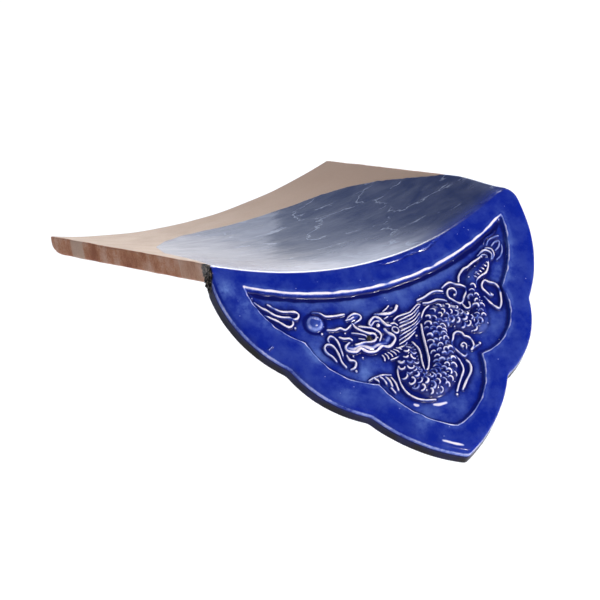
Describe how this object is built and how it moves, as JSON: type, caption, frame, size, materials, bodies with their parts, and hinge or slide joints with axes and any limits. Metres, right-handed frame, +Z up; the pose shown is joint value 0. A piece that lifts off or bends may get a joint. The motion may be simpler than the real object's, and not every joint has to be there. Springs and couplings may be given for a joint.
{
  "type": "glazed roof tile",
  "caption": "Shallow curved eave pan tile with a leaning, lobed pendant plate that carries a dragon chasing a pearl among clouds in a sunk field.",
  "frame": {"origin": "on the underside of the pan, on its centre line at mid length, where the tile beds on the roof", "axes": "+Y up the slope along the pan, away from the pendant plate; +Z up out of the trough; +X to the right as seen from the plate's side"},
  "size_m": [0.2271, 0.3962, 0.1549],
  "materials": {
    "glazed_clay": "cobalt blue lead-type glaze on the plate and the lower pan, bare buff fired clay on the upper pan"
  },
  "bodies": {
    "root": {"drip_tile": "glazed_clay"}
  },
  "joints": []
}
